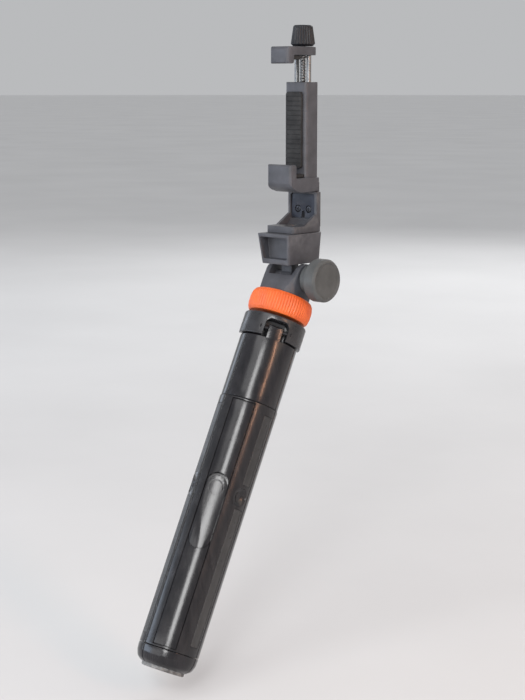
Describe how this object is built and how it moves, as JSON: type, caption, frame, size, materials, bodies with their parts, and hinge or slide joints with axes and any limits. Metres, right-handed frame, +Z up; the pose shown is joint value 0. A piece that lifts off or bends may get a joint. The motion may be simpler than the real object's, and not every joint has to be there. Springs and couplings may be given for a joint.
{
  "type": "selfie stick",
  "caption": "Telescopic selfie stick with a round handle that opens into tripod legs, a pull-out remote, a locking ring, a tilting head and a screw clamp for a phone.",
  "frame": {"origin": "where the hand holds the handle: on the handle's axis, 116 mm from the feet along it", "axes": "+Z up with the clamp upright, -Y the side the phone's screen faces, +X the side of the tilt knob; the handle's axis leans 27 degrees, its top towards +Y"},
  "size_m": [0.052, 0.1518, 0.398],
  "materials": {
    "head_plastic": "fine-grained matte dark grey",
    "handle_plastic": "smooth satin black",
    "gloss_plastic": "polished black",
    "orange_plastic": "satin orange with fine vertical ribs",
    "black_rubber": "matte, fine-textured",
    "tube_metal": "black anodised",
    "steel": "nickel plated",
    "brass": "turned",
    "nylon": "natural nylon"
  },
  "bodies": {
    "handle": {"leg_collar": "handle_plastic", "leg_pin_front": "steel", "leg_pin_right": "steel", "leg_pin_left": "steel", "outer_tube": "tube_metal", "lock_collet": "nylon"},
    "leg_front": {"leg_front": "handle_plastic", "grip_front": "handle_plastic", "foot_front": "black_rubber", "inlay_front_upper": "gloss_plastic", "inlay_front_lower": "gloss_plastic"},
    "leg_right": {"leg_right": "handle_plastic", "grip_right": "handle_plastic", "foot_right": "black_rubber", "inlay_right": "gloss_plastic"},
    "leg_left": {"leg_left": "handle_plastic", "grip_left": "handle_plastic", "foot_left": "black_rubber", "inlay_left": "gloss_plastic"},
    "remote": {"remote_body": "gloss_plastic"},
    "remote_button": {"remote_button": "gloss_plastic"},
    "lock_ring": {"lock_ring": "orange_plastic"},
    "stage_2": {"tube_2": "tube_metal", "bush_2": "nylon"},
    "stage_3": {"tube_3": "tube_metal", "bush_3": "nylon"},
    "stage_4": {"tube_4": "tube_metal", "bush_4": "nylon"},
    "stage_5": {"tube_5": "tube_metal", "bush_5": "nylon"},
    "neck": {"neck": "head_plastic", "swivel_screw": "steel", "tilt_bolt": "steel", "tilt_spacer_right": "head_plastic", "tilt_spacer_left": "head_plastic"},
    "tilt_knob": {"tilt_knob": "head_plastic", "knob_insert": "brass"},
    "tilt_head": {"tilt_block": "head_plastic"},
    "clamp": {"clamp_bracket": "head_plastic", "pan_bolt": "steel", "panel_screw_left": "steel", "panel_screw_right": "steel", "clamp_frame": "head_plastic", "screw_nut": "brass", "spine_cover": "head_plastic", "cover_screw_lower": "steel", "cover_screw_upper": "steel", "lower_pad": "black_rubber", "back_pad": "black_rubber"},
    "upper_jaw": {"upper_jaw": "head_plastic", "upper_pad": "black_rubber", "guide_rod_left": "steel", "guide_rod_right": "steel"},
    "jaw_screw": {"lead_screw": "steel", "screw_clip": "steel", "top_knob": "head_plastic"}
  },
  "joints": [
    {"name": "leg_front_open", "type": "hinge", "parent": "handle", "child": "leg_front", "pos_m": [0.01219, 0.03807, 0.09889], "axis": [-0.6691, -0.6621, 0.3374], "range_deg": [0, 35]},
    {"name": "leg_right_open", "type": "hinge", "parent": "handle", "child": "leg_right", "pos_m": [0.00341, 0.06214, 0.08663], "axis": [0.9781, -0.1853, 0.0944], "range_deg": [0, 35]},
    {"name": "leg_left_open", "type": "hinge", "parent": "handle", "child": "leg_left", "pos_m": [-0.0156, 0.04333, 0.09621], "axis": [-0.309, 0.8474, -0.4318], "range_deg": [0, 35]},
    {"name": "remote_pull", "type": "slide", "parent": "leg_front", "child": "remote", "axis": [0.515, -0.7637, 0.3891], "range_m": [0, 0.012]},
    {"name": "remote_button_press", "type": "slide", "parent": "remote", "child": "remote_button", "axis": [-0.515, 0.7637, -0.3891], "range_m": [0, 0.0006], "stiffness_N_per_m": 1200, "springref_m": -0.0006},
    {"name": "ring_twist", "type": "hinge", "parent": "handle", "child": "lock_ring", "pos_m": [0, 0.05629, 0.11048], "axis": [0, 0.454, 0.891], "range_deg": [0, 90]},
    {"name": "stage_2_extend", "type": "slide", "parent": "handle", "child": "stage_2", "axis": [0, 0.454, 0.891], "range_m": [0, 0.15]},
    {"name": "stage_3_extend", "type": "slide", "parent": "stage_2", "child": "stage_3", "axis": [0, 0.454, 0.891], "range_m": [0, 0.15]},
    {"name": "stage_4_extend", "type": "slide", "parent": "stage_3", "child": "stage_4", "axis": [0, 0.454, 0.891], "range_m": [0, 0.15]},
    {"name": "stage_5_extend", "type": "slide", "parent": "stage_4", "child": "stage_5", "axis": [0, 0.454, 0.891], "range_m": [0, 0.15]},
    {"name": "neck_swivel", "type": "hinge", "parent": "stage_5", "child": "neck", "pos_m": [0, 0.06583, 0.1292], "axis": [0, 0.454, 0.891], "continuous": true},
    {"name": "tilt_knob_twist", "type": "hinge", "parent": "neck", "child": "tilt_knob", "pos_m": [0, 0.06583, 0.1292], "axis": [1, 0, 0], "range_deg": [0, 540]},
    {"name": "head_tilt", "type": "hinge", "parent": "neck", "child": "tilt_head", "pos_m": [0, 0.06583, 0.1292], "axis": [1, 0, 0], "range_deg": [-90, 40]},
    {"name": "clamp_pan", "type": "hinge", "parent": "tilt_head", "child": "clamp", "pos_m": [0, 0.06883, 0.1582], "axis": [0, 0, 1], "continuous": true},
    {"name": "jaw_lift", "type": "slide", "parent": "clamp", "child": "upper_jaw", "axis": [0, 0, 1], "range_m": [-0.0134, 0.0164]},
    {"name": "jaw_screw_turn", "type": "hinge", "parent": "upper_jaw", "child": "jaw_screw", "pos_m": [0, 0.07753, 0.2792], "axis": [0, 0, 1], "range_deg": [-2425, 2965]}
  ],
  "couplings": [
    {"joint": "jaw_screw_turn", "follows": "jaw_lift", "rad_per_m": 3141.6}
  ]
}
